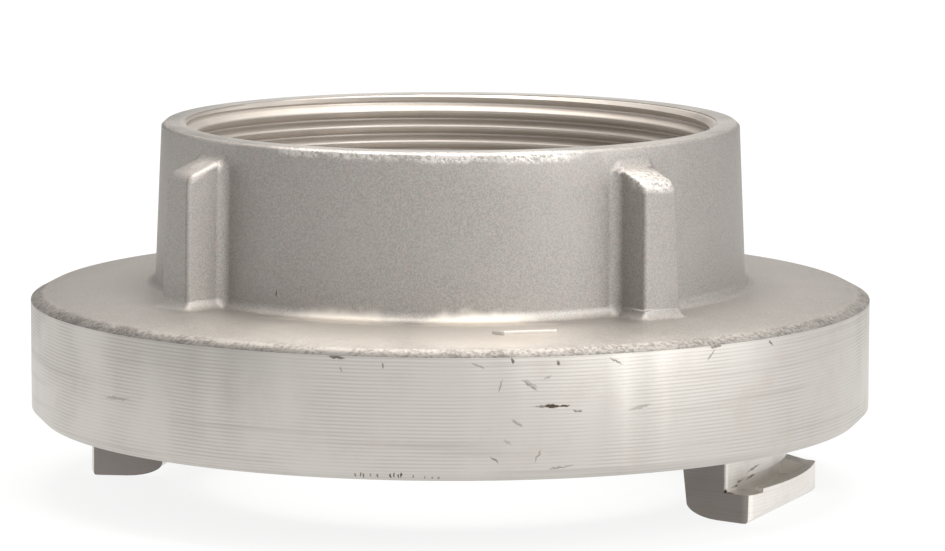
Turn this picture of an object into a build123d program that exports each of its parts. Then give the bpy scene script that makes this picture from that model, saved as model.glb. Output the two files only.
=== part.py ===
from build123d import *

import os
from math import cos, radians, sin, tan

# Quarter-turn hose coupling with a female pipe thread, in millimetres and degrees.
# Origin on the axis in the plane of the coupling face, +Z towards the thread,
# +X through the middle of one lug.

# Flange
flange_wall = 6.7
flange_height = 16.6
flange_face_break = 1.5
flange_shoulder_width = 2.0
flange_shoulder_rise = 1.05
flange_slope_rise = 1.05

# Boss with its cast draft
rim_width = 3.2
boss_height = 22.85
boss_draft = 2.57
rim_break = 0.5
cast_fillet = 1.6

# Female 55 degree pipe thread, bored to its minor diameter
thread_major_diameter = 75.184
thread_pitch = 2.309
thread_depth_per_pitch = 0.640327
thread_mouth_margin = 0.1
thread_length = 25.2
relief_width = 2.5
relief_margin = 0.4

# Step from the thread's crests in to the waterway
waterway_step = 3.61

# Wrench ribs on the boss
rib_count = 4
rib_angle = -30.0
rib_stand_out = 5.7
rib_foot_width = 6.7
rib_upright_draft = 2.0
rib_plan_draft = 3.0
rib_top_below_rim = 2.0
rib_top_slope = 17.0
rib_nose_radius = 1.9
rib_edge_break = 0.5
rib_foot_margin = 0.6

# Lugs
lug_count = 2
lug_span = 31.6
lug_inner_draft = 1.1
leg_thickness = 7.45
foot_reach = 4.15
foot_top = 6.0
foot_thickness = 4.5
heel_width = 5.2
heel_height = 2.0
foot_chamfer_width = 2.5
foot_chamfer_height = 2.3
foot_corner_round = 1.3

# Machined seat on the back of each foot
seat_drop = 0.55
seat_landing = 4.0
pocket_drop = 1.4
pocket_rim = 1.15
end_block_span = 4.2
end_block_rise = 0.9
undercut_depth = 0.7
undercut_height = 0.9

# Coupling face
running_gap = 0.6
lip_thickness = 6.0
web_thickness = 5.4
lug_side_gap = 2.5
window_gap = 3.5
closing_turn = 90.0
ramp_span = 14.0
ramp_angle = 4.5
spigot_break = 0.4

# Seal seat and sealing ring
seal_ledge = 0.5
seal_seat_width = 4.5
seal_seat_depth = 7.0
seal_heel_width = 1.1
seal_heel_height = 2.4
seal_heel_slope = 0.7
spigot_wall = 1.4
seal_clearance = 0.1
seal_stand_out = 0.9
seal_bevel = 1.3
seal_notch_depth = 2.4
seal_notch_height = 3.4

# Worked out from the sizes above
thread_minor_radius = thread_major_diameter / 2 - thread_depth_per_pitch * thread_pitch
mouth_radius = thread_major_diameter / 2 + thread_mouth_margin
boss_top_radius = mouth_radius + rim_width
boss_root_radius = boss_top_radius + boss_height * tan(radians(boss_draft))
rib_foot_radius = boss_root_radius + rib_stand_out
relief_radius = thread_major_diameter / 2 + relief_margin
waterway_radius = thread_minor_radius - waterway_step
seal_inner_radius = waterway_radius + seal_ledge
seal_mouth_radius = seal_inner_radius + seal_seat_width
seal_heel_radius = seal_mouth_radius + seal_heel_width
spigot_radius = seal_heel_radius + spigot_wall
lug_inner_radius = spigot_radius + running_gap
leg_outer_radius = lug_inner_radius + leg_thickness
foot_radius = leg_outer_radius + foot_reach
foot_bottom = foot_top + foot_thickness
lip_radius = leg_outer_radius + running_gap
groove_radius = foot_radius + running_gap
flange_radius = groove_radius + flange_wall
shoulder_radius = flange_radius - flange_shoulder_width
shoulder_height = flange_height + flange_shoulder_rise
slope_radius = rib_foot_radius + cast_fillet + rib_foot_margin
boss_foot_height = shoulder_height + flange_slope_rise
rim_height = boss_foot_height + boss_height
thread_floor = rim_height - thread_length - relief_width
channel_top = flange_height - web_thickness
gap_start = -lug_span / 2 - lug_side_gap
window_end = lug_span * 1.5 + window_gap + lug_side_gap
rib_inner_radius = (mouth_radius + boss_top_radius) / 2
overlap = 0.5
slack = 0.01


def radial_plane(angle):
    """Upright plane through the axis, with its x direction at an angle from +X."""
    east, north = cos(radians(angle)), sin(radians(angle))
    return Plane(origin=(0, 0, 0), x_dir=(east, north, 0), z_dir=(north, -east, 0))


def ring_sector(inner, outer, low, high, start, sweep):
    """Part of a square-edged ring, from the start angle over the sweep."""
    with BuildPart() as sector:
        with BuildSketch(radial_plane(start)):
            with Locations(((inner + outer) / 2, (low + high) / 2)):
                Rectangle(outer - inner, high - low)
        revolve(axis=Axis.Z, revolution_arc=sweep)
    return sector.part


def nearest_corner(sketch, x, y):
    """The corner of a sketch that lies nearest to a point of its plane."""
    return sketch.vertices().sort_by_distance(Vector(x, y, 0))[0]


def farthest_radius(edge):
    """The greatest distance from the axis to an edge's ends and middle."""
    points = [edge.position_at(share) for share in (0, 0.5, 1)]
    return max(Vector(point.X, point.Y).length for point in points)


# One wrench rib: a block that narrows to its tip and to its top, under a sloping
# top with a rounded nose, with the draft that lets it leave the die
rib_low = flange_height - overlap
rib_depth = rib_foot_radius - rib_inner_radius
rib_reach = rib_foot_radius + 2 * overlap
rib_root_width = rib_foot_width + 2 * rib_depth * tan(radians(rib_plan_draft))
rib_reach_width = rib_foot_width - 4 * overlap * tan(radians(rib_plan_draft))
rib_top = rim_height - rib_top_below_rim
rib_nose_height = rib_top - rib_depth * tan(radians(rib_top_slope))
rib_nose_radial = rib_foot_radius - (rib_nose_height - rib_low) * tan(radians(rib_upright_draft))
with BuildPart() as rib:
    with BuildSketch(Plane.XY.offset(rib_low)):
        with BuildLine():
            Polyline(
                (rib_inner_radius - overlap, -rib_root_width / 2),
                (rib_reach, -rib_reach_width / 2),
                (rib_reach, rib_reach_width / 2),
                (rib_inner_radius - overlap, rib_root_width / 2),
                close=True,
            )
        make_face()
    extrude(amount=rim_height - rib_low, taper=rib_upright_draft)
    with BuildSketch(Plane.XZ) as rib_side:
        with BuildLine():
            Polyline(
                (rib_inner_radius, rib_low),
                (rib_foot_radius, rib_low),
                (rib_nose_radial, rib_nose_height),
                (rib_inner_radius, rib_top),
                close=True,
            )
        make_face()
        fillet(nearest_corner(rib_side, rib_nose_radial, rib_nose_height), radius=rib_nose_radius)
    extrude(amount=rib_root_width, both=True, mode=Mode.INTERSECT)
    outer_edges = [
        edge
        for side in (rib.faces().sort_by(Axis.Y)[0], rib.faces().sort_by(Axis.Y)[-1])
        for edge in side.edges()
        if edge.center().X > rib_inner_radius + overlap and edge.center().Z > rib_low + overlap
    ]
    chamfer(outer_edges, length=rib_edge_break)

# Cuts and additions of one lug: a seat turned into the back of its foot from the
# leading end, a deeper pocket, an undercut beside the leg and the end block
lug_start = -lug_span / 2
seat_outer = foot_radius - pocket_rim
pocket_start = lug_start + seat_landing
pocket_sweep = lug_span - seat_landing - end_block_span
seat_cut = ring_sector(
    leg_outer_radius, foot_radius + overlap, -foot_top - seat_drop, -foot_top + overlap,
    lug_start - overlap, seat_landing + overlap,
)
pocket_cut = ring_sector(
    leg_outer_radius, seat_outer, -foot_top - pocket_drop, -foot_top + overlap, pocket_start, pocket_sweep
)
undercut = ring_sector(
    leg_outer_radius - undercut_depth, leg_outer_radius + overlap, -foot_top - pocket_drop,
    -foot_top + undercut_height, pocket_start, pocket_sweep,
)
with BuildPart() as end_block:
    with BuildSketch(radial_plane(lug_start + lug_span - end_block_span)):
        with BuildLine():
            Polyline(
                (leg_outer_radius - overlap, -foot_top - overlap),
                (foot_radius - foot_corner_round, -foot_top - overlap),
                (foot_radius - foot_corner_round, -foot_top),
                (leg_outer_radius - overlap, -foot_top + end_block_rise),
                close=True,
            )
        make_face()
    revolve(axis=Axis.Z, revolution_arc=end_block_span)
lug_root = ring_sector(
    spigot_radius - overlap, leg_outer_radius, running_gap, channel_top + overlap, lug_start, lug_span
)

# One lug: a leg that hangs from the web, with a foot that hooks outwards
heel_start = (lug_inner_radius + lug_inner_draft, -foot_bottom + heel_height)
heel_end = (heel_start[0] + heel_width, -foot_bottom)
with BuildPart() as lug:
    with BuildSketch(radial_plane(lug_start)):
        with BuildLine():
            Line((lug_inner_radius, 0), heel_start)
            EllipticalCenterArc(
                center=(heel_end[0], heel_start[1]),
                x_radius=heel_width,
                y_radius=heel_height,
                start_angle=180,
                arc_size=90,
            )
            Polyline(
                heel_end,
                (foot_radius, -foot_bottom),
                (foot_radius, -foot_top),
                (leg_outer_radius, -foot_top),
                (leg_outer_radius, channel_top + overlap),
                (lug_inner_radius, channel_top + overlap),
                (lug_inner_radius, 0),
            )
        make_face()
    revolve(axis=Axis.Z, revolution_arc=lug_span)
    corner_edges = lug.edges().filter_by(Axis.Z).sort_by_distance((foot_radius * 2, 0, -foot_bottom))[:2]
    fillet(corner_edges, radius=foot_corner_round)
    # The forged outer side runs in under the foot as one flat
    with BuildSketch(Plane.XZ):
        with BuildLine():
            Polyline(
                (foot_radius - foot_chamfer_width, -foot_bottom),
                (foot_radius, -foot_bottom + foot_chamfer_height),
                (foot_radius + foot_chamfer_width, -foot_bottom + 2 * foot_chamfer_height),
                (foot_radius + foot_chamfer_width, -foot_bottom),
                close=True,
            )
        make_face()
    extrude(amount=foot_radius, both=True, mode=Mode.SUBTRACT)
    add([seat_cut, pocket_cut, undercut], mode=Mode.SUBTRACT)
    add([end_block.part, lug_root])

# What is cut away behind the face for one lug of the other half: the window that it
# enters by, the groove that it turns in and the ramp that leads it under the lip
window = ring_sector(
    lip_radius - overlap, groove_radius, -overlap, channel_top, gap_start, window_end - gap_start
)
groove = ring_sector(
    lip_radius - overlap, groove_radius, lip_thickness, channel_top, window_end - overlap, closing_turn + overlap
)
ramp_pivot = Axis((0, 0, lip_thickness), radial_plane(window_end + ramp_span).x_dir)
ramp = ring_sector(
    lip_radius - overlap, groove_radius, lip_thickness, channel_top - overlap, window_end - overlap,
    ramp_span + overlap,
).rotate(ramp_pivot, ramp_angle)

# The body: one forging, turned about Z
with BuildPart() as body:
    with BuildSketch(Plane.XZ) as section:
        with BuildLine():
            Polyline(
                (waterway_radius, seal_seat_depth),
                (seal_heel_radius, seal_seat_depth),
                (seal_heel_radius, seal_seat_depth - seal_heel_height),
                (seal_mouth_radius, seal_seat_depth - seal_heel_height - seal_heel_slope),
                (seal_mouth_radius, 0),
                (spigot_radius, 0),
                (spigot_radius, channel_top),
                (lip_radius, channel_top),
                (lip_radius, 0),
                (flange_radius, 0),
                (flange_radius, flange_height),
                (shoulder_radius, shoulder_height),
                (slope_radius, boss_foot_height),
                (boss_root_radius, boss_foot_height),
                (boss_top_radius, rim_height),
                (mouth_radius, rim_height),
                (thread_minor_radius, rim_height - mouth_radius + thread_minor_radius),
                (thread_minor_radius, thread_floor + relief_width),
                (relief_radius, thread_floor + relief_width),
                (relief_radius, thread_floor),
                (waterway_radius, thread_floor),
                close=True,
            )
        make_face()
        chamfer(nearest_corner(section, flange_radius, 0), length=flange_face_break)
        chamfer(nearest_corner(section, boss_top_radius, rim_height), length=rim_break)
        chamfer(nearest_corner(section, spigot_radius, 0), length=spigot_break)
        chamfer(nearest_corner(section, lip_radius, 0), length=spigot_break)
    revolve(axis=Axis.Z)
    with PolarLocations(0, rib_count, start_angle=rib_angle):
        add(rib.part)
    outside = body.edges().filter_by(lambda edge: farthest_radius(edge) > boss_top_radius - overlap)
    on_flange = outside.filter_by_position(Axis.Z, boss_foot_height - slack, boss_foot_height + slack)
    foot_edges = on_flange.filter_by(lambda edge: farthest_radius(edge) < rib_foot_radius + slack)
    upright = outside.filter_by_position(Axis.Z, boss_foot_height + slack, rim_height - overlap)
    corner_edges = upright.filter_by(lambda edge: farthest_radius(edge) < boss_root_radius + overlap)
    fillet(foot_edges + corner_edges, radius=cast_fillet)
    with PolarLocations(0, lug_count):
        add([window, groove, ramp], mode=Mode.SUBTRACT)
    with PolarLocations(0, lug_count):
        add(lug.part)
body.part.label = "body"

# The sealing ring, seated in the spigot
seal_outer = seal_mouth_radius - seal_clearance
seal_heel = seal_heel_radius - seal_clearance
seal_shoulder = seal_seat_depth - seal_heel_height
with BuildPart() as sealing_ring:
    with BuildSketch(Plane.XZ):
        with BuildLine():
            Polyline(
                (seal_inner_radius, seal_seat_depth),
                (seal_heel, seal_seat_depth),
                (seal_heel, seal_shoulder + seal_clearance),
                (seal_outer, seal_shoulder - seal_heel_slope + seal_clearance),
                (seal_outer, 0),
                (seal_outer - seal_bevel, -seal_stand_out),
                (seal_inner_radius + seal_bevel, -seal_stand_out),
                (seal_inner_radius, 0),
                (seal_inner_radius, seal_seat_depth / 2 - seal_notch_height / 2),
                (seal_inner_radius + seal_notch_depth, seal_seat_depth / 2),
                (seal_inner_radius, seal_seat_depth / 2 + seal_notch_height / 2),
                close=True,
            )
        make_face()
    revolve(axis=Axis.Z)
sealing_ring.part.label = "sealing_ring"

os.makedirs("parts", exist_ok=True)
export_step(body.part, "parts/body.step")
export_step(sealing_ring.part, "parts/sealing_ring.step")
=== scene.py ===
"""A quarter-turn fire hose coupling, dressed round its CAD frame.

Everything is in metres in the frame of the CAD: the origin lies on the axis in the
plane of the coupling face, +Z points towards the thread and +X through the middle of
one lug. Sizes are written in millimetres and turned to metres by MM.
"""

import logging
from collections.abc import Callable
from dataclasses import dataclass, field
from enum import Enum
from math import atan2, cos, degrees, hypot, pi, radians, sin

import bmesh
import bpy
from mathutils import Matrix, Vector


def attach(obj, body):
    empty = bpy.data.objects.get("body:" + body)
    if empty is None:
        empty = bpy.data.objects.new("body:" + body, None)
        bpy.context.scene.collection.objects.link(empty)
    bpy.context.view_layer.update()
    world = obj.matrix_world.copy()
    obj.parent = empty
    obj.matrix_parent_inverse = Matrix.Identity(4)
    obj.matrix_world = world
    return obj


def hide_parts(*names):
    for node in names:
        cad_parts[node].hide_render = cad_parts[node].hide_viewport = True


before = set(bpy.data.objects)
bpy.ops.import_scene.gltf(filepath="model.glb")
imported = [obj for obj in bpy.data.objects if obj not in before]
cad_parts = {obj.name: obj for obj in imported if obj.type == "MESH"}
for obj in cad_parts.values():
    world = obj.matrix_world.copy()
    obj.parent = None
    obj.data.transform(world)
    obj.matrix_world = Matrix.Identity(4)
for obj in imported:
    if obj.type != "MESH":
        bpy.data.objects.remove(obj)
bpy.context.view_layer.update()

logger = logging.getLogger("coupling")

MM = 0.001
MERGE_DISTANCE = 0.002 * MM

Colour = tuple[float, float, float, float]
Point = tuple[float, float]


def linear(code: str) -> Colour:
    """Turns an sRGB hex value to linear light.

    Args:
        code: The colour as "#RRGGBB".

    Returns:
        Red, green, blue and an alpha of 1.
    """
    shares = [int(code[i : i + 2], 16) / 255 for i in (1, 3, 5)]
    red, green, blue = [s / 12.92 if s <= 0.04045 else ((s + 0.055) / 1.055) ** 2.4 for s in shares]
    return (red, green, blue, 1.0)


def add_node(
    tree: bpy.types.NodeTree,
    kind: str,
    settings: dict[str | int, object] | None = None,
    links: dict[str | int, bpy.types.NodeSocket] | None = None,
) -> bpy.types.Node:
    """Adds a node with its settings and links.

    Args:
        tree: The node tree that it goes into.
        kind: The node's type, such as "ShaderNodeMath".
        settings: Values by name. A name in lower case is a property of the node, and
            a capitalised name or a number is one of its inputs.
        links: The socket that feeds each input, by the input's name or number.

    Returns:
        The new node.
    """
    node = tree.nodes.new(kind)
    for name, value in (settings or {}).items():
        if isinstance(name, str) and name[0].islower():
            setattr(node, name, value)
        else:
            node.inputs[name].default_value = value
    for name, source in (links or {}).items():
        tree.links.new(source, node.inputs[name])
    return node


def select_only(piece: bpy.types.Object) -> None:
    """Makes one object the only selected one and the active one.

    Args:
        piece: The object.
    """
    bpy.ops.object.select_all(action="DESELECT")
    piece.select_set(True)
    bpy.context.view_layer.objects.active = piece


def select_vertices(piece: bpy.types.Object, test: Callable[[Vector], bool]) -> None:
    """Selects the vertices that a test picks, and goes into edit mode.

    Args:
        piece: The mesh object, in object mode.
        test: Says of a vertex's place whether it is picked.
    """
    select_only(piece)
    bpy.ops.object.mode_set(mode="EDIT")
    bpy.ops.mesh.select_mode(type="VERT")
    bpy.ops.mesh.select_all(action="DESELECT")
    shape = bmesh.from_edit_mesh(piece.data)
    for vertex in shape.verts:
        vertex.select = test(vertex.co)
    shape.select_flush(True)
    bmesh.update_edit_mesh(piece.data)


def apply_modifiers(piece: bpy.types.Object) -> None:
    """Applies every modifier of an object, in order.

    Args:
        piece: The mesh object.
    """
    select_only(piece)
    for modifier in list(piece.modifiers):
        bpy.ops.object.modifier_apply(modifier=modifier.name)


def copy_of_node(name: str, node: bpy.types.Object) -> bpy.types.Object:
    """A piece that starts as a merged copy of a CAD node's mesh.

    Args:
        name: The piece's name.
        node: The CAD node.

    Returns:
        The new object, with its loose triangles joined.
    """
    piece = bpy.data.objects.new(name, node.data.copy())
    piece.data.materials.clear()
    bpy.context.scene.collection.objects.link(piece)
    select_only(piece)
    bpy.ops.object.mode_set(mode="EDIT")
    bpy.ops.mesh.select_all(action="SELECT")
    bpy.ops.mesh.remove_doubles(threshold=MERGE_DISTANCE)
    bpy.ops.object.mode_set(mode="OBJECT")
    return piece


def flat_radius(place: Vector) -> float:
    """The distance of a place from the axis."""
    return hypot(place.x, place.y)


def weighted_sum(
    tree: bpy.types.NodeTree, *parts: tuple[bpy.types.NodeSocket, float]
) -> bpy.types.NodeSocket:
    """The sum of several patterns, each times a weight.

    Args:
        tree: The material's node tree.
        parts: Pairs of a pattern's socket and its weight.

    Returns:
        The socket of the sum.
    """
    result = None
    for source, weight in parts:
        links = {0: source} if result is None else {0: source, 2: result}
        settings = {"operation": "MULTIPLY_ADD", 1: weight, 2: 0.0}
        result = add_node(tree, "ShaderNodeMath", settings, links).outputs[0]
    return result


class Coordinates:
    """An object's own coordinates in a material, with the radius and the height.

    Args:
        tree: The material's node tree.
    """

    def __init__(self, tree: bpy.types.NodeTree) -> None:
        """Adds the nodes that give the coordinates."""
        self.tree = tree
        self.place = add_node(tree, "ShaderNodeTexCoord").outputs["Object"]
        parts = add_node(tree, "ShaderNodeSeparateXYZ", links={0: self.place})
        self.x, self.y, self.height = parts.outputs
        flat = add_node(tree, "ShaderNodeCombineXYZ", links={0: self.x, 1: self.y})
        self.radius = add_node(
            tree, "ShaderNodeVectorMath", {"operation": "LENGTH"}, {0: flat.outputs[0]}
        ).outputs["Value"]


@dataclass(frozen=True)
class Grain:
    """An uneven pattern in a finish, whose features have a real size.

    Args:
        size_mm: The size of a feature in millimetres.
        detail: How many finer layers it has.
        roughness: How strong the finer layers are.
    """

    size_mm: float
    detail: float = 2.0
    roughness: float = 0.5

    @property
    def settings(self) -> dict[str, float]:
        """What a noise node is set to."""
        return {"Scale": 1 / (self.size_mm * MM), "Detail": self.detail, "Roughness": self.roughness}


@dataclass(frozen=True)
class SoftStep:
    """A soft step from one value to another, driven by a pattern.

    Args:
        low: The pattern's value where the step starts.
        high: The pattern's value where the step ends.
        start: The result up to low.
        end: The result from high on.
    """

    low: float
    high: float
    start: float = 0.0
    end: float = 1.0

    @property
    def settings(self) -> dict[str | int, float | str]:
        """What a range node is set to."""
        return {"interpolation_type": "SMOOTHSTEP", 1: self.low, 2: self.high, 3: self.start, 4: self.end}


@dataclass(frozen=True)
class Tinge:
    """A colour that shows in a finish where a pattern is strong.

    Args:
        colour: The colour as "#RRGGBB".
        step: How the colour comes in with the pattern, or None if it follows it evenly.
    """

    colour: str
    step: SoftStep | None = None

    def over(
        self, tree: bpy.types.NodeTree, coat: Colour | bpy.types.NodeSocket, pattern: bpy.types.NodeSocket
    ) -> bpy.types.NodeSocket:
        """Lays the colour over a coat.

        Args:
            tree: The material's node tree.
            coat: The colour below, or its socket.
            pattern: The pattern's socket.

        Returns:
            The new colour's socket.
        """
        share = pattern
        if self.step is not None:
            share = add_node(tree, "ShaderNodeMapRange", self.step.settings, {0: pattern}).outputs[0]
        settings = {"data_type": "RGBA", 7: linear(self.colour)}
        links = {0: share}
        if isinstance(coat, tuple):
            settings[6] = coat
        else:
            links[6] = coat
        return add_node(tree, "ShaderNodeMix", settings, links).outputs[2]


def new_material(name: str) -> tuple[bpy.types.Material, bpy.types.NodeTree, bpy.types.Node]:
    """Starts a node material.

    Args:
        name: The material's name.

    Returns:
        The material, its tree and its output node.
    """
    material = bpy.data.materials.new(name)
    material.use_nodes = True
    material.node_tree.nodes.clear()
    output = add_node(material.node_tree, "ShaderNodeOutputMaterial")
    return material, material.node_tree, output


def bare_metal(
    output: bpy.types.Node,
    coat: bpy.types.NodeSocket,
    matt: bpy.types.NodeSocket,
    height: bpy.types.NodeSocket,
    relief_mm: float,
) -> None:
    """Makes a material's surface bare metal.

    Args:
        output: The material's output node.
        coat: The socket of the metal's colour.
        matt: The socket of its roughness.
        height: The socket of its fine relief.
        relief_mm: The depth of a relief of 1, in millimetres.
    """
    tree = output.id_data
    settings = {"Strength": 1.0, "Distance": relief_mm * MM}
    bump = add_node(tree, "ShaderNodeBump", settings, {"Height": height})
    links = {"Base Color": coat, "Roughness": matt, "Normal": bump.outputs[0]}
    shader = add_node(tree, "ShaderNodeBsdfPrincipled", {"Metallic": 1.0}, links)
    tree.links.new(shader.outputs[0], output.inputs[0])


@dataclass(frozen=True)
class Mark:
    """A scratch, gouge or nick on a round face, or a patch of painted highlight or painted shade.

    Args:
        start: Its first end, as azimuth in degrees and height in millimetres.
        end: Its other end.
        width: Its width in millimetres.
        strength: How strong it is, from 0 to 1: how dark and deep a scratch is, or how light a painted
            highlight is.
        radius: The radius of the face in millimetres.
        reach: How far it reaches in and out from that radius, in millimetres.
        fade: Where its edge starts and where it is at full strength, from 0 at its
            outline to 1 on its middle line.
    """

    start: Point
    end: Point
    width: float
    strength: float
    radius: float = 59.5
    reach: float = 2.0
    fade: Point = (0.05, 0.6)

    def mask(self, tree: bpy.types.NodeTree, place: bpy.types.NodeSocket) -> bpy.types.NodeSocket:
        """Where the mark shows.

        Args:
            tree: The material's node tree.
            place: The place, slightly disturbed so that the mark's edge is ragged.

        Returns:
            A value of the mark's strength on its middle line and 0 away from it.
        """
        middle = radians((self.start[0] + self.end[0]) / 2)
        run = radians(self.end[0] - self.start[0]) * self.radius
        rise = self.end[1] - self.start[1]
        along = Vector((-sin(middle) * run, cos(middle) * run, rise)).normalized()
        out = Vector((cos(middle), sin(middle), 0))
        turn = Matrix((along, out, along.cross(out))).transposed().to_euler("XYZ")
        height = (self.start[1] + self.end[1]) / 2
        centre = Vector((cos(middle) * self.radius, sin(middle) * self.radius, height))
        sizes = Vector((hypot(run, rise) / 2 + self.width, self.reach, self.width))
        settings = {"vector_type": "TEXTURE", "Location": centre * MM, "Rotation": turn, "Scale": sizes * MM}
        local = add_node(tree, "ShaderNodeMapping", settings, {"Vector": place}).outputs[0]
        ball = add_node(tree, "ShaderNodeTexGradient", {"gradient_type": "SPHERICAL"}, {0: local})
        edge = SoftStep(*self.fade, 0.0, self.strength)
        return add_node(tree, "ShaderNodeMapRange", edge.settings, {0: ball.outputs["Fac"]}).outputs[0]


def joined_marks(
    at: Coordinates, marks: tuple[Mark, ...], raggedness_mm: float = 0.25
) -> bpy.types.NodeSocket:
    """Where any of several marks shows.

    Args:
        at: The coordinates of the material.
        marks: The marks.
        raggedness_mm: How far the marks' edges wander.

    Returns:
        A value from 0 off the marks to 1 in the strongest.
    """
    reach = raggedness_mm * MM
    settings = {"Scale": 0.5 / reach, "Detail": 2.0}
    shake = add_node(at.tree, "ShaderNodeTexNoise", settings, {"Vector": at.place}).outputs["Color"]
    settings = {"operation": "MULTIPLY_ADD", 1: (2 * reach,) * 3}
    moved = add_node(at.tree, "ShaderNodeVectorMath", settings, {0: shake, 2: at.place}).outputs[0]
    settings = {"operation": "ADD", 1: (-reach,) * 3}
    place = add_node(at.tree, "ShaderNodeVectorMath", settings, {0: moved}).outputs[0]
    result, *others = (mark.mask(at.tree, place) for mark in marks)
    for shape in others:
        links = {0: result, 1: shape}
        result = add_node(at.tree, "ShaderNodeMath", {"operation": "MAXIMUM"}, links).outputs[0]
    return result


# Where the rim, one rib's nose and another's top are torn and hammered bright
FORGING_WEAR = (
    Mark((-106.0, 41.2), (-86.0, 41.2), 1.1, 0.8, 41.8, 3.5),
    Mark((-96.0, 41.2), (-72.0, 41.2), 1.3, 0.9, 41.8, 3.5),
    Mark((-80.0, 41.1), (-56.0, 41.1), 1.4, 1.0, 41.8, 3.5),
    Mark((-64.0, 41.0), (-38.0, 41.0), 1.5, 1.0, 41.8, 3.5),
    Mark((-50.6, 41.2), (-49.4, 41.0), 0.5, 1.0, 41.8, 1.5),
    Mark((-34.0, 38.2), (-26.0, 37.6), 2.9, 1.0, 46.0, 5.0),
    Mark((-121.5, 39.2), (-118.5, 39.0), 1.6, 0.6, 44.6, 4.0),
)

# Painted highlight: the flange is painted lighter at the front, most of all in the root of the boss
FORGING_HIGHLIGHTS = (
    Mark((-100.0, 18.4), (-68.0, 18.4), 4.0, 0.5, 50.0, 12.0),
    Mark((-78.0, 18.4), (-46.0, 18.4), 4.0, 0.6, 50.0, 12.0),
    Mark((-102.0, 19.2), (-72.0, 19.2), 2.0, 0.9, 43.6, 3.5),
    Mark((-78.0, 19.2), (-46.0, 19.2), 2.0, 1.0, 43.6, 3.5),
)

# One dark nick low on the boss
FORGING_NICKS = (Mark((-101.8, 21.2), (-101.5, 22.1), 0.2, 0.8, 42.4),)


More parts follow.
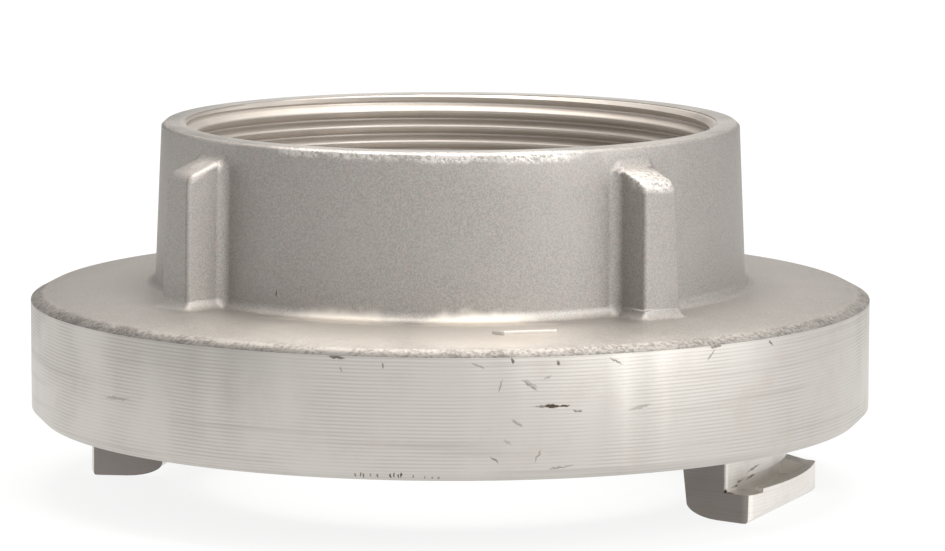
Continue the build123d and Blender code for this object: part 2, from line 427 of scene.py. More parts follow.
@dataclass(frozen=True)
class BlastedForging:
    """Aluminium, drop forged and then blasted with fine grit.

    The grit leaves a matt skin of tiny facets, lighter and darker, with a faint warm or
    cool tint. Corners are lighter from wear, and round the flange the flash was sheared off,
    which left a torn band of bright ridges and dark hollows. The tight roots and the front
    of the flange are painted lighter too, which is painted highlight. The real facets are
    about 0.1 mm and finer than a pixel, so they are drawn 0.26 mm wide to show. Each depth
    is a share of relief_mm.
    """

    name: str = "blasted_forged_aluminium"
    skin: str = "#9A9591"
    light_facets: Tinge = Tinge("#AEAAA5", SoftStep(0.36, 0.64))
    warm_facets: Tinge = Tinge("#B4A29B", SoftStep(0.50, 0.72, 0.0, 0.35))
    cool_facets: Tinge = Tinge("#9BA197", SoftStep(0.50, 0.28, 0.0, 0.35))
    light_patches: Tinge = Tinge("#AEAAA5", SoftStep(0.45, 0.72, 0.0, 0.25))
    # Painted highlight on the front of the flange and in the root of the boss
    painted_highlight: Tinge = Tinge("#D0C9C0")
    # Lighter on the corners from wear, and a painted highlight in the tight roots
    wear_and_root_highlight: Tinge = Tinge("#CBC6BF")
    hammered: Tinge = Tinge("#D8D3CD")
    torn_hollow: str = "#847F7A"
    torn_ridge: Tinge = Tinge("#ABA6A0", SoftStep(0.38, 0.58))
    grime: Tinge = Tinge("#5A5148")
    roughness: float = 0.55
    worn_roughness: float = 0.48
    torn_roughness: float = 0.62
    facet_roughness: SoftStep = SoftStep(0.2, 0.8, -0.06, 0.06)
    grain: Grain = Grain(0.26, 3.0, 0.65)
    tint: Grain = Grain(0.9, 3.0, 0.7)
    patch: Grain = Grain(8.0, 4.0, 0.6)
    tear: Grain = Grain(0.55, 3.0, 0.65)
    relief_mm: float = 0.022
    grain_depth: float = 0.8
    patch_depth: float = 1.0
    torn_depth: float = 1.8
    hammered_depth: float = 1.8
    nick_depth: float = -3.0
    hammer_bite: SoftStep = SoftStep(0.34, 0.60)
    hammer_raggedness_mm: float = 0.5
    highlight_raggedness_mm: float = 1.0
    corner_mm: float = 0.8
    corner_samples: int = 6
    corner_wear_and_highlight: SoftStep = SoftStep(0.90, 0.80)
    corner_raggedness: Point = (0.10, 0.06)
    ridge_shares: Point = (0.6, 0.4)
    torn_radius_mm: float = 57.4
    torn_wander_mm: float = 1.4
    torn_edge_mm: float = 0.5

    def build(self) -> bpy.types.Material:
        """Makes the material.

        Returns:
            The material.
        """
        material, tree, output = new_material(self.name)
        at = Coordinates(tree)
        grain, tint, patch, tear = (
            add_node(tree, "ShaderNodeTexNoise", pattern.settings, {"Vector": at.place}).outputs[0]
            for pattern in (self.grain, self.tint, self.patch, self.tear)
        )
        # Painted highlight at the front of the flange and in the root of the boss
        highlight_patches = joined_marks(at, FORGING_HIGHLIGHTS, self.highlight_raggedness_mm)
        nick = joined_marks(at, FORGING_NICKS)
        wear_and_root_highlight, torn = self.worn_corners(tree, grain, patch), self.torn_band(at, tear)
        bite = add_node(tree, "ShaderNodeMapRange", self.hammer_bite.settings, {0: tear}).outputs[0]
        links = {0: joined_marks(at, FORGING_WEAR, self.hammer_raggedness_mm), 1: bite}
        hammered = add_node(tree, "ShaderNodeMath", {"operation": "MULTIPLY"}, links).outputs[0]
        coat = linear(self.skin)
        for tinge, pattern in (
            (self.light_facets, grain), (self.warm_facets, tint), (self.cool_facets, tint),
            (self.light_patches, patch), (self.painted_highlight, highlight_patches), (self.wear_and_root_highlight, wear_and_root_highlight), (self.hammered, hammered),
        ):
            coat = tinge.over(tree, coat, pattern)
        ridges = weighted_sum(tree, *zip((tear, patch), self.ridge_shares, strict=True))
        links = {0: torn, 6: coat, 7: self.torn_ridge.over(tree, linear(self.torn_hollow), ridges)}
        coat = add_node(tree, "ShaderNodeMix", {"data_type": "RGBA"}, links).outputs[2]
        coat = self.grime.over(tree, coat, nick)
        links = {0: tear, 1: torn}
        rags = add_node(tree, "ShaderNodeMath", {"operation": "MULTIPLY"}, links).outputs[0]
        height = weighted_sum(
            tree, (grain, self.grain_depth), (patch, self.patch_depth), (rags, self.torn_depth),
            (hammered, self.hammered_depth), (nick, self.nick_depth),
        )
        links = {0: wear_and_root_highlight, 1: hammered}
        bright = add_node(tree, "ShaderNodeMath", {"operation": "MAXIMUM"}, links).outputs[0]
        polish = SoftStep(0.0, 1.0, self.roughness, self.worn_roughness)
        matt = weighted_sum(
            tree,
            (add_node(tree, "ShaderNodeMapRange", polish.settings, {0: bright}).outputs[0], 1.0),
            (torn, self.torn_roughness - self.roughness),
            (add_node(tree, "ShaderNodeMapRange", self.facet_roughness.settings, {0: grain}).outputs[0], 1.0),
        )
        bare_metal(output, coat, matt, height, self.relief_mm)
        return material

    def worn_corners(
        self, tree: bpy.types.NodeTree, grain: bpy.types.NodeSocket, patch: bpy.types.NodeSocket
    ) -> bpy.types.NodeSocket:
        """Where the skin is lighter: on corners from wear by handling, and in the tight roots as painted
        highlight.

        Args:
            tree: The material's node tree.
            grain: Fine noise, which makes the wear ragged.
            patch: Broad noise, which makes it come and go.

        Returns:
            A value from 0 for whole skin to 1 for bright metal.
        """
        # The bevel's rounded normal picks out convex corners as wear and concave roots as painted highlight
        settings = {"samples": self.corner_samples, "Radius": self.corner_mm * MM}
        rounded = add_node(tree, "ShaderNodeBevel", settings)
        plain = add_node(tree, "ShaderNodeNewGeometry")
        links = {0: rounded.outputs[0], 1: plain.outputs["Normal"]}
        likeness = add_node(tree, "ShaderNodeVectorMath", {"operation": "DOT_PRODUCT"}, links)
        fine, broad = self.corner_raggedness
        ragged = weighted_sum(tree, (grain, -fine), (patch, -broad), (likeness.outputs["Value"], 1.0))
        return add_node(tree, "ShaderNodeMapRange", self.corner_wear_and_highlight.settings, {0: ragged}).outputs[0]

    def torn_band(self, at: Coordinates, tear: bpy.types.NodeSocket) -> bpy.types.NodeSocket:
        """Where the sheared flash left its torn band.

        Args:
            at: The coordinates of the material.
            tear: The noise that shapes the tear.

        Returns:
            A value from 0 off the band to 1 on it.
        """
        ragged = weighted_sum(at.tree, (tear, self.torn_wander_mm * MM), (at.radius, 1.0))
        start = (self.torn_radius_mm + self.torn_wander_mm / 2) * MM
        edge = SoftStep(start, start + self.torn_edge_mm * MM)
        return add_node(at.tree, "ShaderNodeMapRange", edge.settings, {0: ragged}).outputs[0]


class Turned(Enum):
    """The way in which a cutting tool moved over a turned face."""

    ALONG_AXIS = "along the axis, so its lines follow one another in height"
    ACROSS_FACE = "across the face, so its lines follow one another in radius"


@dataclass(frozen=True)
class TurnedAluminium:
    """Aluminium cut on a machine and left as it was cut.

    The tool leaves fine even lines, one for each turn, which come and go with its wear.
    Between them the metal is smooth and bright. Knocks leave gouges, and grime in them.
    The real lines are about 0.2 mm apart and too fine to show one by one, so they are
    drawn 0.5 mm apart where no other size is given. Each depth is a share of relief_mm.
    """

    name: str
    way: Turned
    metal: str = "#C6C2BC"
    dull: str = "#A39C96"
    warm: str = "#B9AEA7"
    scar: str = "#8A837C"
    grime: str = "#51473B"
    roughness: float = 0.40
    duller_patches: float = 0.06
    brighter_patches: float = 0.04
    patch_span: Point = (0.3, 0.7)
    line_mm: float = 0.5
    line_strength: float = 0.45
    line_share: SoftStep = SoftStep(-0.2, 1.0)
    line_roughness: float = 0.08
    line_waver: float = 5.0
    faint_lines: float = 0.35
    fading_span: Point = (0.36, 0.60)
    streak_lines: int = 3
    streak_mm: float = 45.0
    streak_detail: float = 3.0
    streak_show: SoftStep = SoftStep(0.55, 0.75, 0.0, 0.35)
    film_show: SoftStep = SoftStep(0.48, 0.72, 0.0, 0.30)
    scar_show: SoftStep = SoftStep(0.0, 0.6)
    grime_show: SoftStep = SoftStep(0.5, 0.95)
    patch: Grain = Grain(11.0, 3.0)
    film: Grain = Grain(6.0, 4.0, 0.65)
    grit: Grain = Grain(0.35, 2.0)
    waver: Grain = Grain(14.0, 2.0)
    relief_mm: float = 0.010
    line_depth: float = -1.0
    grit_depth: float = 0.35
    streak_depth: float = 0.5
    mark_depth: float = -2.0
    marks: tuple[Mark, ...] = ()

    def build(self) -> bpy.types.Material:
        """Makes the material.

        Returns:
            The material.
        """
        material, tree, output = new_material(self.name)
        at = Coordinates(tree)
        patch, film, grit, waver = (
            add_node(tree, "ShaderNodeTexNoise", pattern.settings, {"Vector": at.place}).outputs[0]
            for pattern in (self.patch, self.film, self.grit, self.waver)
        )
        streaks, cut = self.streaks(at), self.lines(at, waver, patch)
        coat = linear(self.metal)
        for tinge, pattern in (
            (Tinge(self.dull), cut), (Tinge(self.dull, self.streak_show), streaks),
            (Tinge(self.warm, self.film_show), film),
        ):
            coat = tinge.over(tree, coat, pattern)
        height = weighted_sum(
            tree, (cut, self.line_depth), (grit, self.grit_depth), (streaks, self.streak_depth)
        )
        # Marks darken the metal as scars and grime, and on the lugs as painted shade in the corner under the
        # rims
        if self.marks:
            hit = joined_marks(at, self.marks)
            coat = Tinge(self.scar, self.scar_show).over(tree, coat, hit)
            coat = Tinge(self.grime, self.grime_show).over(tree, coat, hit)
            height = weighted_sum(tree, (height, 1.0), (hit, self.mark_depth))
        brightest, dullest = self.roughness - self.brighter_patches, self.roughness + self.duller_patches
        uneven = SoftStep(*self.patch_span, brightest, dullest)
        base = add_node(tree, "ShaderNodeMapRange", uneven.settings, {0: patch}).outputs[0]
        matt = weighted_sum(tree, (base, 1.0), (cut, self.line_roughness))
        bare_metal(output, coat, matt, height, self.relief_mm)
        return material

    def step(self, at: Coordinates) -> bpy.types.NodeSocket:
        """The coordinate in which the tool moved on from line to line."""
        return at.height if self.way is Turned.ALONG_AXIS else at.radius

    def lines(
        self, at: Coordinates, waver: bpy.types.NodeSocket, patch: bpy.types.NodeSocket
    ) -> bpy.types.NodeSocket:
        """The tool's lines, one for each turn.

        Args:
            at: The coordinates of the material.
            waver: Broad noise, which bends the lines a little.
            patch: Broad noise, which makes them come and go.

        Returns:
            A value from 0 between the lines to the lines' strength on them.
        """
        tree = at.tree
        settings = {"operation": "MULTIPLY_ADD", 1: 2 * pi / (self.line_mm * MM)}
        links = {0: self.step(at), 2: weighted_sum(tree, (waver, self.line_waver))}
        turn = add_node(tree, "ShaderNodeMath", settings, links).outputs[0]
        wave = add_node(tree, "ShaderNodeMath", {"operation": "SINE"}, {0: turn}).outputs[0]
        line = add_node(tree, "ShaderNodeMapRange", self.line_share.settings, {0: wave}).outputs[0]
        fade = SoftStep(*self.fading_span, self.faint_lines * self.line_strength, self.line_strength)
        show = add_node(tree, "ShaderNodeMapRange", fade.settings, {0: patch}).outputs[0]
        return add_node(tree, "ShaderNodeMath", {"operation": "MULTIPLY"}, {0: line, 1: show}).outputs[0]

    def streaks(self, at: Coordinates) -> bpy.types.NodeSocket:
        """Broader streaks that run with the lines.

        Args:
            at: The coordinates of the material.

        Returns:
            The noise's value, about 0.5 on average.
        """
        across, along = 1 / (self.line_mm * self.streak_lines * MM), 1 / (self.streak_mm * MM)
        scaled = [
            add_node(at.tree, "ShaderNodeMath", {"operation": "MULTIPLY", 1: scale}, {0: source}).outputs[0]
            for source, scale in ((self.step(at), across), (at.x, along), (at.y, along))
        ]
        vector = add_node(at.tree, "ShaderNodeCombineXYZ", links=dict(enumerate(scaled)))
        settings = {"Scale": 1.0, "Detail": self.streak_detail}
        return add_node(at.tree, "ShaderNodeTexNoise", settings, {"Vector": vector.outputs[0]}).outputs[0]


@dataclass(frozen=True)
class MouldedRubber:
    """Black nitrile rubber as it leaves the mould, matt with a faint bloom."""

    name: str = "moulded_nitrile_rubber"
    rubber: str = "#1E1D1C"
    bloom: Tinge = Tinge("#3A3836", SoftStep(0.45, 0.75, 0.0, 0.7))
    roughness: float = 0.62
    refraction: float = 1.52
    haze: Grain = Grain(3.0, 3.0)
    grain: Grain = Grain(0.25)
    relief_mm: float = 0.01
    relief_strength: float = 0.6

    def build(self) -> bpy.types.Material:
        """Makes the material.

        Returns:
            The material.
        """
        material, tree, output = new_material(self.name)
        at = Coordinates(tree)
        haze, grain = (
            add_node(tree, "ShaderNodeTexNoise", pattern.settings, {"Vector": at.place}).outputs[0]
            for pattern in (self.haze, self.grain)
        )
        coat = self.bloom.over(tree, linear(self.rubber), haze)
        settings = {"Strength": self.relief_strength, "Distance": self.relief_mm * MM}
        bump = add_node(tree, "ShaderNodeBump", settings, {"Height": grain})
        settings = {"Roughness": self.roughness, "IOR": self.refraction}
        links = {"Base Color": coat, "Normal": bump.outputs[0]}
        shader = add_node(tree, "ShaderNodeBsdfPrincipled", settings, links)
        tree.links.new(shader.outputs[0], output.inputs[0])
        return material


# Gouges, scratches and pits in the turned side, where the coupling was dropped and knocked
SIDE_MARKS = (
    Mark((-57.4, 10.0), (-51.8, 9.9), 0.24, 0.55),
    Mark((-55.3, 10.05), (-53.2, 9.95), 0.34, 1.0),
    Mark((-53.6, 9.95), (-51.9, 9.95), 0.22, 0.9),
    Mark((-51.5, 9.3), (-50.2, 9.1), 0.20, 0.6),
    Mark((-58.4, 13.8), (-55.9, 11.9), 0.26, 0.42),
    Mark((-58.1, 13.9), (-55.7, 12.2), 0.14, 0.35),
    Mark((-60.6, 13.9), (-61.2, 11.8), 0.20, 0.38),
    Mark((-59.5, 8.3), (-58.1, 7.4), 0.34, 0.35),
    Mark((-62.3, 3.6), (-61.0, 2.5), 0.18, 0.5),
    Mark((-55.6, 4.5), (-56.6, 2.3), 0.16, 0.4),
    Mark((-60.5, 5.7), (-59.5, 5.0), 0.30, 0.25),
    Mark((-59.4, 16.3), (-59.3, 15.9), 0.34, 0.75),
    Mark((-53.5, 15.9), (-53.4, 15.4), 0.26, 0.7),
    Mark((-64.9, 16.1), (-62.6, 15.0), 0.20, 0.35),
    Mark((-44.3, 8.8), (-40.4, 9.6), 0.38, 0.30),
    Mark((-46.8, 16.1), (-44.6, 15.0), 0.20, 0.5),
    Mark((-55.5, 13.5), (-54.3, 14.1), 0.18, 0.35),
    Mark((-76.0, 15.9), (-75.8, 15.1), 0.18, 0.5),
    Mark((-55.3, 1.6), (-50.8, 2.0), 0.16, 0.4),
    Mark((-119.8, 7.7), (-113.3, 8.1), 0.40, 0.30),
    Mark((-83.0, 16.5), (-80.6, 16.3), 0.32, 0.7),
    Mark((-81.4, 15.2), (-81.2, 14.4), 0.18, 0.35),
    Mark((-32.3, 14.4), (-30.7, 16.3), 0.18, 0.45),
    Mark((-31.7, 16.4), (-29.7, 16.5), 0.28, 0.6),
    Mark((-21.2, 16.3), (-20.3, 15.5), 0.22, 0.6),
)

# Short upright nicks along the lower break of the flange, at the front
BREAK_MARKS = tuple(
    Mark((azimuth, low), (azimuth + 0.1, low + rise), 0.15, strength, 58.8)
    for azimuth, low, rise, strength in (
        (-79.6, 0.4, 0.6, 0.6), (-78.9, 0.4, 0.8, 0.8), (-78.5, 0.3, 0.7, 0.7), (-77.6, 0.5, 0.5, 0.5),
        (-76.7, 0.4, 0.5, 0.7), (-75.0, 0.3, 0.9, 0.8), (-74.5, 0.4, 1.0, 0.9), (-74.0, 0.3, 0.8, 0.8),
        (-73.6, 0.4, 0.9, 0.9), (-72.1, 0.4, 0.5, 0.5), (-70.6, 0.3, 0.4, 0.6), (-69.6, 0.3, 0.4, 0.5),
        (-68.8, 0.3, 0.4, 0.6),
    )
)

# The burrs and the grime low on the lugs' legs, and painted shade in the corner under their rims
LUG_MARKS_AND_SHADE = (
    Mark((-16.2, -6.5), (-15.0, -6.4), 0.45, 1.0, 47.6, 3.0),
    Mark((-14.5, -6.2), (-8.0, -5.6), 0.30, 0.5, 47.6, 1.5),
    Mark((-9.5, -4.6), (-3.0, -3.9), 0.25, 0.45, 47.6, 1.5),
    Mark((-8.0, -5.9), (-2.0, -5.1), 0.20, 0.6, 47.6, 1.5),
    Mark((-4.0, -2.6), (3.0, -2.2), 0.20, 0.35, 47.6, 1.5),
    Mark((-13.0, -7.9), (-10.5, -7.5), 0.25, 0.35, 50.2, 2.0),
)


@dataclass
class ForgedBody:
    """The forging with its turned faces, which stands for the CAD body.

    The bore is opened to the depth of the thread, whose turns are a piece of their own.
    Lengths and heights are in millimetres and angles in degrees.
    """

    node: bpy.types.Object
    crest_radius: float = 36.113
    opened_radius: float = 37.62
    bore_start: float = 16.0
    side_radius: float = 59.2
    side_top: float = 16.58
    skin_drop: float = 1.0
    face_break_top: float = 1.45
    lug_half_span: float = 16.0
    lug_end_start: float = 14.0
    lug_end_facing: float = 0.7
    lug_radii: Point = (40.4, 52.4)
    lug_top: float = 11.1
    lug_level: float = -0.05
    rim_land: float = 41.5
    rim_facing: float = 0.9
    inner_radius: float = 38.2
    bore_floor: float = 7.0
    selection_slack: float = 0.02
    crisp_level: float = 0.5
    crisp_angle: float = 30.0
    round_angle: float = 50.0
    piece: bpy.types.Object = field(init=False)

    def build(self) -> None:
        """Makes the piece's mesh."""
        self.piece = copy_of_node("forged_body", self.node)
        self.open_bore()
        self.smooth()
        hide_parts(self.node.name)
        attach(self.piece, "root")

    def open_bore(self) -> None:
        """Widens the bore to the roots of the thread."""

        def on_bore(place: Vector) -> bool:
            """Whether a place lies on the bore at the crests of the thread."""
            near = abs(flat_radius(place) - self.crest_radius * MM) < self.selection_slack * MM
            return near and place.z > self.bore_start * MM

        select_vertices(self.piece, on_bore)
        scale = self.opened_radius / self.crest_radius
        bpy.ops.transform.resize(value=(scale, scale, 1), center_override=(0, 0, 0))
        bpy.ops.object.mode_set(mode="OBJECT")

    def smooth(self) -> None:
        """Rounds the shading over the small breaks and keeps the machined edges crisp."""
        select_only(self.piece)
        bpy.ops.object.shade_smooth_by_angle(angle=radians(self.round_angle))
        shape = bmesh.new()
        shape.from_mesh(self.piece.data)
        for edge in shape.edges:
            middle = (edge.verts[0].co + edge.verts[1].co) / 2
            machined = middle.z < self.crisp_level * MM or flat_radius(middle) < self.inner_radius * MM
            if machined and edge.calc_face_angle(0) > radians(self.crisp_angle):
                edge.smooth = False
        shape.to_mesh(self.piece.data)
        shape.free()
        weight = self.piece.modifiers.new("even_shading", "WEIGHTED_NORMAL")
        weight.keep_sharp = True
        apply_modifiers(self.piece)

    def dress(self) -> None:
        """Gives each kind of face its finish, in the order that finish_at counts them."""
        finishes = (
            # Grit left a grey skin with a fine sparkle and wear on its corners; its roots and the front of
            # the flange carry painted highlight
            BlastedForging(),
            # A pointed tool left level lines and a satin shine, under many knocks
            TurnedAluminium("turned_aluminium_side", Turned.ALONG_AXIS, marks=SIDE_MARKS),
            # A facing cut left faint rings round the axis, on the rim and the coupling face
            TurnedAluminium(
                "turned_aluminium_face", Turned.ACROSS_FACE, line_strength=0.25, marks=BREAK_MARKS
            ),
            # A boring bar left the wall smooth, with faint lines
            TurnedAluminium("turned_aluminium_bore", Turned.ALONG_AXIS, line_strength=0.25),
            # A milling cutter left the lugs satin, with hardly a line; their pale metal is painted light that
            # lifts the shade under the flange
            TurnedAluminium(
                "milled_aluminium_lug_painted_light", Turned.ALONG_AXIS, metal="#E8E4DE", dull="#C9C3BC",
                line_strength=0.15, roughness=0.5, marks=LUG_MARKS_AND_SHADE,
            ),
            # The lugs' ends are dull, and their dark grey is painted shade
            TurnedAluminium(
                "lug_end_aluminium_painted_shade", Turned.ALONG_AXIS, metal="#918B86", dull="#817A74", warm="#8A8079",
                line_strength=0.1, roughness=0.58,
            ),
        )
        for finish in finishes:
            self.piece.data.materials.append(finish.build())
        for polygon in self.piece.data.polygons:
            polygon.material_index = self.finish_at(polygon.center, polygon.normal)

    def from_lug(self, place: Vector) -> float:
        """The angle in degrees between a place and the middle of the nearer lug."""
        return abs((degrees(atan2(place.y, place.x)) + 90) % 180 - 90)

    def on_lug(self, place: Vector) -> bool:
        """Whether a place lies on one of the two lugs.

        Args:
            place: The place.

        Returns:
            True if it is below the coupling face, or on a lug's leg above it.
        """
        inner, outer = self.lug_radii
        sector = self.from_lug(place) < self.lug_half_span and inner < flat_radius(place) / MM < outer
        return place.z < self.lug_level * MM or (sector and place.z < self.lug_top * MM)

    def finish_at(self, place: Vector, normal: Vector) -> int:
        """The finish of a face.

        Args:
            place: The middle of the face.
            normal: The way in which it faces.

        Returns:
            The number of its material.
        """
        radius, height = flat_radius(place) / MM, place.z / MM
        forged, side, face, bore, lug, lug_end = range(6)
        if self.on_lug(place):
            across = abs(place.x * normal.y - place.y * normal.x) / (radius * MM)
            ends = across > self.lug_end_facing and self.from_lug(place) > self.lug_end_start
            return lug_end if ends else lug
        if radius > self.side_radius and self.face_break_top < height < self.side_top:
            return side
        if height > self.rim_land and normal.z > self.rim_facing:
            return face
        if radius < self.inner_radius and height > self.bore_floor:
            return bore
        if height < self.side_top - self.skin_drop:
            return face
        return forged


@dataclass
class PipeThread:
    """The turns of a right-handed 55 degree pipe thread, 11 to the inch.

    Its ridge is drawn once across the thread, with rounded crest and roots, and turned
    up the bore. The rim's 45 degree mouth cuts its last turns. Lengths and heights are in
    millimetres and angles in degrees.
    """

    pitch: float = 2.309
    rounding: float = 0.3171
    flank: float = 62.5
    crest_centre: float = 36.430
    root_centre: float = 37.275
    back_radius: float = 37.99
    back_inset: float = 0.15
    first_height: float = 15.28
    turns: int = 12
    steps: int = 180
    rim_height: float = 41.55
    mouth_radius: float = 37.692
    rim_gap: float = 0.1
    floor_height: float = 16.35
    floor_gap: float = 0.02
    sunk_radius: float = 37.74
    crest_points: int = 7
    root_points: int = 3
    round_angle: float = 35.0
    piece: bpy.types.Object = field(init=False)

    def profile(self) -> list[Point]:
        """The ridge's outline as radius and height above its middle, in millimetres."""
        half = self.pitch / 2
        root = [
            (
                self.root_centre + self.rounding * cos(radians(self.flank * i / (self.root_points - 1))),
                self.rounding * sin(radians(self.flank * i / (self.root_points - 1))) - half,
            )
            for i in range(self.root_points)
        ]
        angles = [self.flank * (2 * i / (self.crest_points - 1) - 1) for i in range(self.crest_points)]
        crest = [
            (self.crest_centre - self.rounding * cos(radians(a)), self.rounding * sin(radians(a)))
            for a in angles
        ]
        back = half - self.back_inset
        upper = [(radius, -height) for radius, height in reversed(root)]
        return root + crest + upper + [(self.back_radius, back), (self.back_radius, -back)]

    def build(self) -> None:
        """Makes the piece's mesh."""
        outline = self.profile()
        bpy.ops.object.select_all(action="DESELECT")
        bpy.ops.mesh.primitive_circle_add(vertices=len(outline), radius=MM, fill_type="NOTHING")
        self.piece = bpy.context.object
        self.piece.name = self.piece.data.name = "pipe_thread"
        for vertex, (radius, height) in zip(self.piece.data.vertices, outline, strict=True):
            vertex.co = Vector((radius, 0, self.first_height + height)) * MM
        screw = self.piece.modifiers.new("turns", "SCREW")
        screw.angle = 2 * pi * self.turns
        screw.screw_offset = self.pitch * self.turns * MM
        screw.steps = screw.render_steps = self.steps * self.turns
        screw.use_merge_vertices = False
        apply_modifiers(self.piece)
        bpy.ops.object.mode_set(mode="EDIT")
        bpy.ops.mesh.select_mode(type="VERT")
        bpy.ops.mesh.select_all(action="DESELECT")
        bpy.ops.mesh.select_non_manifold()
        bpy.ops.mesh.edge_face_add()
        bpy.ops.mesh.select_all(action="SELECT")
        bpy.ops.mesh.normals_make_consistent(inside=False)
        bpy.ops.object.mode_set(mode="OBJECT")
        self.trim()
        select_only(self.piece)
        bpy.ops.object.shade_smooth_by_angle(angle=radians(self.round_angle))
        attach(self.piece, "root")

    def trim(self) -> None:
        """Cuts the ridge to the mouth's cone, and sinks what lies past it into the wall."""
        for vertex in self.piece.data.vertices:
            radius, height = flat_radius(vertex.co) / MM, vertex.co.z / MM
            least = self.mouth_radius - (self.rim_height - height)
            level = min(max(height, self.floor_height + self.floor_gap), self.rim_height - self.rim_gap)
            if level != height:
                least = self.sunk_radius
            wanted = max(radius, least)
            vertex.co = Vector((vertex.co.x * wanted / radius, vertex.co.y * wanted / radius, level * MM))

    def dress(self) -> None:
        """Gives the thread the finish of a cut with a chasing tool."""
        # The chaser tore the flanks a little, so they are duller and warmer than the bore
        finish = TurnedAluminium(
            "chased_aluminium_thread", Turned.ALONG_AXIS, metal="#C6BFB7", dull="#A1968C",
            line_mm=0.35, line_strength=0.15, roughness=0.54,
        )
        self.piece.data.materials.append(finish.build())


@dataclass
class ArrowMark:
    """The raised arrow on the flange that shows which way to turn the coupling.

    Lengths and heights are in millimetres and angles in degrees.
    """

    tip_angle: float = -61.1
    tail_angle: float = -51.2
    ring_radius: float = 51.0
    top_height: float = 18.95
    depth: float = 0.9
    shaft_width: float = 0.75
    head_length: float = 1.6
    head_width: float = 1.9
    worn_corner: float = 0.12
    round_angle: float = 40.0
    piece: bpy.types.Object = field(init=False)

    def build(self) -> None:
        """Makes the piece's mesh: a bar with a head, bent to the flange's round."""
        half_shaft, half_head = self.shaft_width / 2, self.head_width / 2
        length = radians(self.tail_angle - self.tip_angle) * self.ring_radius
        outline = [
            (0, 0), (self.head_length, -half_head), (self.head_length, -half_shaft), (length, -half_shaft),
            (length, half_shaft), (self.head_length, half_shaft), (self.head_length, half_head),
        ]
        bpy.ops.object.select_all(action="DESELECT")
        bpy.ops.mesh.primitive_circle_add(vertices=len(outline), radius=MM, fill_type="NGON")
        self.piece = bpy.context.object
        self.piece.name = self.piece.data.name = "direction_arrow"
        for vertex, (along, across) in zip(self.piece.data.vertices, outline, strict=True):
            angle = radians(self.tip_angle) + along / self.ring_radius
            radius = self.ring_radius + across
            vertex.co = Vector((radius * cos(angle), radius * sin(angle), self.top_height)) * MM
        select_only(self.piece)
        bpy.ops.object.mode_set(mode="EDIT")
        bpy.ops.mesh.select_all(action="SELECT")
        down = {"value": (0, 0, -self.depth * MM)}
        bpy.ops.mesh.extrude_region_move(TRANSFORM_OT_translate=down)
        bpy.ops.mesh.select_all(action="SELECT")
        bpy.ops.mesh.normals_make_consistent(inside=False)
        bpy.ops.object.mode_set(mode="OBJECT")
        soften = self.piece.modifiers.new("worn_corners", "BEVEL")
        soften.width = self.worn_corner * MM
        soften.segments = 2
        apply_modifiers(self.piece)
        bpy.ops.object.shade_smooth_by_angle(angle=radians(self.round_angle))
        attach(self.piece, "root")

    def dress(self, finish: bpy.types.Material) -> None:
        """Gives the arrow the finish of the forging that it is part of.

        Args:
            finish: The forging's material.
        """
        self.piece.data.materials.append(finish)


@dataclass
class SealingRing:
    """The rubber ring in the spigot, which stands for the CAD ring."""

    node: bpy.types.Object
    round_angle: float = 30.0
    piece: bpy.types.Object = field(init=False)

    def build(self) -> None:
        """Makes the piece's mesh: the CAD ring, with its round faces shaded smooth."""
        self.piece = copy_of_node("moulded_seal", self.node)
        bpy.ops.object.shade_smooth_by_angle(angle=radians(self.round_angle))
        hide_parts(self.node.name)
        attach(self.piece, "root")

    def dress(self) -> None:
        """Gives the ring its rubber."""
        self.piece.data.materials.append(MouldedRubber().build())


def direction(azimuth: float, elevation: float) -> Vector:
    """The way from the coupling to a lamp or a card.

    Args:
        azimuth: The angle in degrees from +X towards +Y.
        elevation: The angle above the floor in degrees.

    Returns:
        A vector of length 1.
    """
    flat = cos(radians(elevation))
    return Vector((flat * cos(radians(azimuth)), flat * sin(radians(azimuth)), sin(radians(elevation))))


@dataclass(frozen=True)
class Softbox:
    """A soft studio lamp that points at the coupling.

    Args:
        name: Its name.
        azimuth: Its direction in degrees, from +X towards +Y.
        elevation: Its direction above the floor in degrees.
        distance: Its distance in metres.
        size: Its width and height in metres.
        power: Its power in watts.
        colour: Its colour.
    """

    name: str
    azimuth: float
    elevation: float
    distance: float
    size: Point
    power: float
    colour: str = "#FFFFFF"

    def build(self, aim: Vector) -> None:
        """Hangs the lamp.

        Args:
            aim: The point that it lights.
        """
        lamp = bpy.data.lights.new(self.name, "AREA")
        lamp.shape = "RECTANGLE"
        lamp.size, lamp.size_y = self.size
        lamp.energy = self.power
        lamp.color = linear(self.colour)[:3]
        held = bpy.data.objects.new(self.name, lamp)
        bpy.context.scene.collection.objects.link(held)
        way = direction(self.azimuth, self.elevation)
        held.location = aim + way * self.distance
        held.rotation_euler = (-way).to_track_quat("-Z", "Y").to_euler()
        held.visible_camera = False


@dataclass(frozen=True)
class GreyCard:
    """A grey card beside the coupling, which the metal mirrors as a soft shade.

    Args:
        name: Its name.
        azimuth: Its direction in degrees, from +X towards +Y.
        elevation: Its direction above the floor in degrees.
        distance: Its distance in metres.
        size: Its width and height in metres.
        shade: Its grey, as the metal sees it.
    """

    name: str
    azimuth: float
    elevation: float
    distance: float
    size: Point
    shade: str

    def build(self, aim: Vector) -> None:
        """Stands the card.

        Args:
            aim: The point that it faces.
        """
        bpy.ops.object.select_all(action="DESELECT")
        way = direction(self.azimuth, self.elevation)
        bpy.ops.mesh.primitive_plane_add(
            size=1, location=aim + way * self.distance, rotation=way.to_track_quat("-Z", "Y").to_euler()
        )
        card = bpy.context.object
        card.name = self.name
        card.scale = (*self.size, 1)
        card.visible_camera = card.visible_diffuse = card.visible_shadow = False
        material, tree, output = new_material(self.name + "_paper")
        paper = add_node(tree, "ShaderNodeEmission", {"Color": linear(self.shade), "Strength": 1.0})
        tree.links.new(paper.outputs[0], output.inputs[0])
        card.data.materials.append(material)


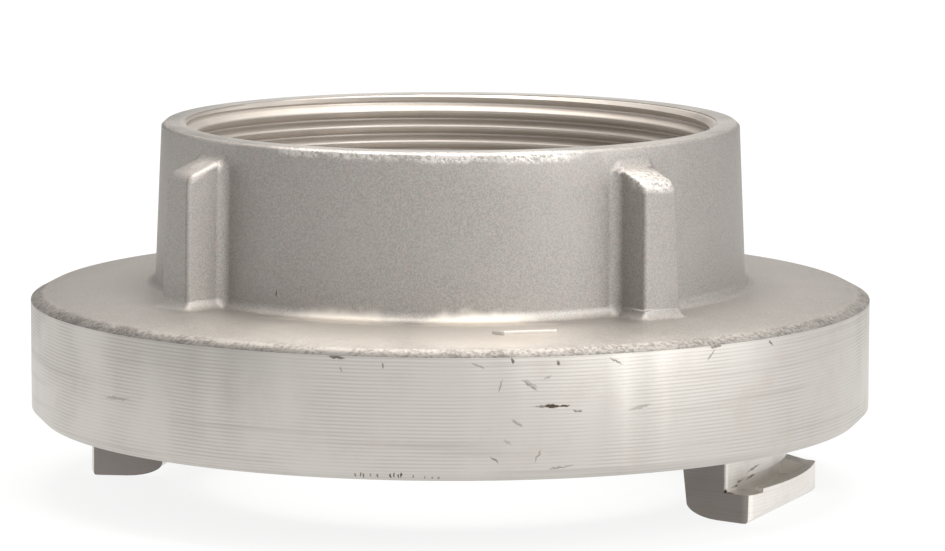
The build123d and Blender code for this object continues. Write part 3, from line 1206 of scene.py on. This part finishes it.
@dataclass
class Studio:
    """The white floor, the lamps, the cards and the camera.

    Heights are in millimetres, the floor's size and the camera's place in metres, and
    angles in degrees, apart from the camera's slight roll, in radians.
    """

    aim_height: float = 20.0
    floor_height: float = -10.52
    floor_size: float = 12.0
    floor_paint: str = "#F4F4F4"
    world_fill: float = 0.75
    floor_white: float = 0.86
    camera_place: tuple[float, float, float] = (0.28608, -0.68247, 0.12038)
    camera_turn: float = 22.5
    camera_tilt: float = 82.231
    camera_roll: float = 0.0022
    lens: float = 200.08
    film_width: float = 36.0
    lamps: tuple[Softbox, ...] = (
        Softbox("key_softbox", -25.0, 38.0, 0.9, (0.55, 0.55), 3.8),
        Softbox("top_softbox", 100.0, 84.0, 0.9, (0.7, 0.7), 8.5, "#FFFBF6"),
        Softbox("low_softbox", -8.0, 6.0, 0.7, (0.7, 0.3), 0.8),
    )
    cards: tuple[GreyCard, ...] = (
        GreyCard("left_card", -138.0, 6.0, 0.7, (0.7, 0.7), "#C2C2C2"),
        GreyCard("back_left_card", 140.0, 16.0, 0.8, (0.65, 0.6), "#767676"),
        GreyCard("back_right_card", 88.0, 16.0, 0.8, (0.6, 0.6), "#8E8E8E"),
    )

    def build(self) -> None:
        """Sets up the studio."""
        aim = Vector((0, 0, self.aim_height * MM))
        self.lay_floor()
        self.fill_world()
        for fitting in (*self.lamps, *self.cards):
            fitting.build(aim)
        self.set_camera()
        bpy.context.scene.view_settings.view_transform = "Standard"

    def lay_floor(self) -> None:
        """Lays a matt white floor that the camera sees as white, with a soft shadow."""
        bpy.ops.object.select_all(action="DESELECT")
        bpy.ops.mesh.primitive_plane_add(size=self.floor_size, location=(0, 0, self.floor_height * MM))
        floor = bpy.context.object
        floor.name = "studio_floor"
        material, tree, output = new_material("matt_white_floor")
        seen = self.seen(tree)
        share = add_node(tree, "ShaderNodeMath", {"operation": "MULTIPLY", 1: self.floor_white}, {0: seen})
        paint = add_node(tree, "ShaderNodeBsdfDiffuse", {"Color": linear(self.floor_paint)})
        white = add_node(tree, "ShaderNodeEmission", {"Color": linear("#FFFFFF"), "Strength": 1.0})
        mixed = add_node(
            tree, "ShaderNodeMixShader", links={0: share.outputs[0], 1: paint.outputs[0], 2: white.outputs[0]}
        )
        tree.links.new(mixed.outputs[0], output.inputs[0])
        floor.data.materials.append(material)

    def fill_world(self) -> None:
        """Lights the room evenly, and shows it white to the camera and in the metal."""
        world = bpy.data.worlds.new("white_room")
        world.use_nodes = True
        tree = world.node_tree
        tree.nodes.clear()
        seen = self.seen(tree)
        settings = {1: 0.0, 2: 1.0, 3: self.world_fill, 4: 1.0}
        strength = add_node(tree, "ShaderNodeMapRange", settings, {0: seen})
        light = add_node(
            tree, "ShaderNodeBackground", {"Color": linear("#FFFFFF")}, {"Strength": strength.outputs[0]}
        )
        output = add_node(tree, "ShaderNodeOutputWorld")
        tree.links.new(light.outputs[0], output.inputs[0])
        bpy.context.scene.world = world

    def seen(self, tree: bpy.types.NodeTree) -> bpy.types.NodeSocket:
        """Whether the camera looks at a place, by itself, in a mirror or through glass.

        Args:
            tree: The node tree.

        Returns:
            A socket of 1 if it does and 0 if it doesn't.
        """
        path = add_node(tree, "ShaderNodeLightPath")
        result = path.outputs["Is Camera Ray"]
        for name in ("Is Glossy Ray", "Is Transmission Ray"):
            links = {0: result, 1: path.outputs[name]}
            result = add_node(tree, "ShaderNodeMath", {"operation": "MAXIMUM"}, links).outputs[0]
        return result

    def set_camera(self) -> None:
        """Puts the camera where the photograph's was."""
        camera = bpy.data.cameras.new("camera")
        camera.lens, camera.sensor_width = self.lens, self.film_width
        camera.clip_start, camera.clip_end = 0.01, 100.0
        held = bpy.data.objects.new("camera", camera)
        bpy.context.scene.collection.objects.link(held)
        held.matrix_world = (
            Matrix.Translation(self.camera_place)
            @ Matrix.Rotation(radians(self.camera_turn), 4, "Z")
            @ Matrix.Rotation(radians(self.camera_tilt), 4, "X")
            @ Matrix.Rotation(self.camera_roll, 4, "Z")
        )
        bpy.context.scene.camera = held


def main() -> None:
    """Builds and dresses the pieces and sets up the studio."""
    logging.basicConfig(level=logging.INFO, format="%(name)s: %(message)s")
    body = ForgedBody(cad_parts["body"])
    thread = PipeThread()
    arrow = ArrowMark()
    ring = SealingRing(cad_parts["sealing_ring"])
    for part in (body, thread, arrow, ring):
        part.build()
    body.dress()
    thread.dress()
    arrow.dress(body.piece.data.materials[0])
    ring.dress()
    for part in (body, thread, arrow, ring):
        logger.info("%s has %d faces", part.piece.name, len(part.piece.data.polygons))
    Studio().build()


if __name__ == "__main__":
    main()
